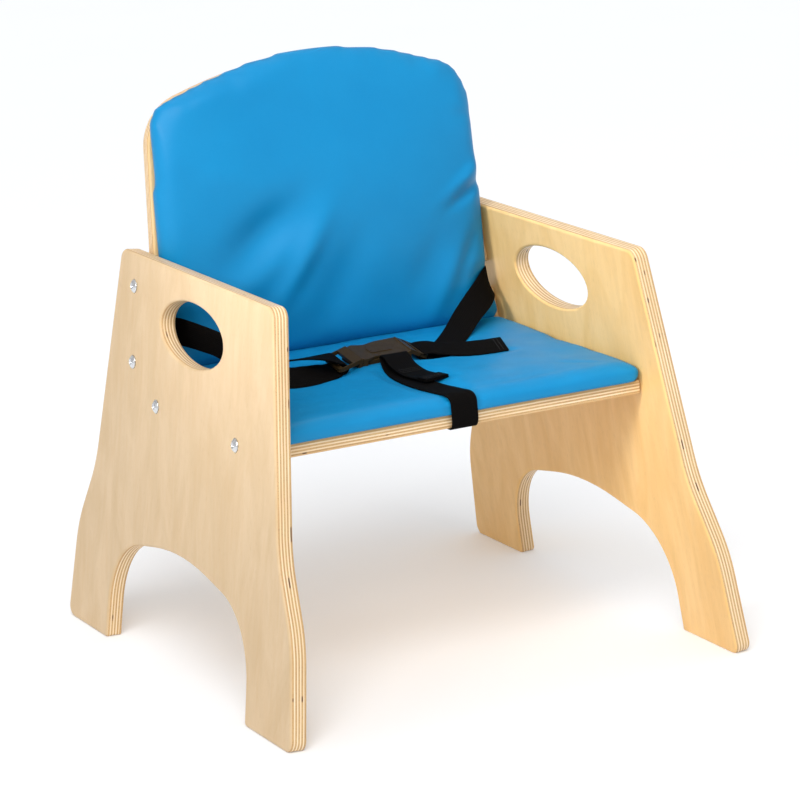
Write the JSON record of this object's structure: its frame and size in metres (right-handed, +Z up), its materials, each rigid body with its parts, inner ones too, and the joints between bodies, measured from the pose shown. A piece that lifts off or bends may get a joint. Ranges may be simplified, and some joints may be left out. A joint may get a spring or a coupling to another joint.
{
  "type": "toddler chair",
  "caption": "Low plywood armchair for a toddler, with splayed side panels, vinyl seat and back cushions and a buckled lap belt with a crotch strap.",
  "frame": {"origin": "on the floor under the middle of the chair, midway between the outer feet", "axes": "+Z up, +Y towards the back of the chair, +X to the right seen from the front"},
  "size_m": [0.44, 0.4582, 0.4991],
  "materials": {
    "birch_plywood": "satin clear lacquer, plies showing on every edge",
    "vinyl": "semi-gloss coated vinyl with a fine grain",
    "foam": "open-cell foam",
    "hook_tape": "matte hook tape",
    "loop_tape": "matte loop tape",
    "webbing": "woven nylon webbing",
    "buckle_plastic": "satin moulded plastic",
    "plated_steel": "bright zinc plate"
  },
  "bodies": {
    "chair": {"side_panel_left": "birch_plywood", "side_panel_right": "birch_plywood", "seat_board": "birch_plywood", "back_board": "birch_plywood", "seat_hook_strips": "hook_tape", "seat_loop_strips": "loop_tape", "seat_cushion_foam": "foam", "seat_cushion_cover": "vinyl", "back_hook_strips": "hook_tape", "back_loop_strips": "loop_tape", "back_cushion_foam": "foam", "back_cushion_cover": "vinyl", "panel_bolts_left": "plated_steel", "panel_bolts_right": "plated_steel", "seat_barrel_nuts": "plated_steel", "back_barrel_nuts": "plated_steel", "belt_strap_left": "webbing", "belt_strap_right": "webbing", "crotch_strap": "webbing", "belt_screws": "plated_steel", "belt_washers": "plated_steel", "buckle_socket": "buckle_plastic"},
    "plug": {"buckle_plug": "buckle_plastic"},
    "prong_front": {"buckle_prong_front": "buckle_plastic"},
    "prong_rear": {"buckle_prong_rear": "buckle_plastic"}
  },
  "joints": [
    {"name": "plug_slide", "type": "slide", "parent": "chair", "child": "plug", "axis": [-0.9981, -0.061, 0], "range_m": [0, 0.034], "deforming": ["belt_strap_left"]},
    {"name": "prong_squeeze", "type": "hinge", "parent": "plug", "child": "prong_front", "pos_m": [-0.02938, -0.00744, 0.24992], "axis": [0.0132, -0.216, 0.9763], "range_deg": [0, 7], "stiffness_Nm_per_rad": 0.4},
    {"name": "prong_squeeze_rear", "type": "hinge", "parent": "plug", "child": "prong_rear", "pos_m": [-0.03052, 0.01127, 0.25408], "axis": [0.0132, -0.216, 0.9763], "range_deg": [-7, 0], "stiffness_Nm_per_rad": 0.4}
  ],
  "couplings": [
    {"joint": "prong_squeeze_rear", "follows": "prong_squeeze", "ratio": -1}
  ]
}
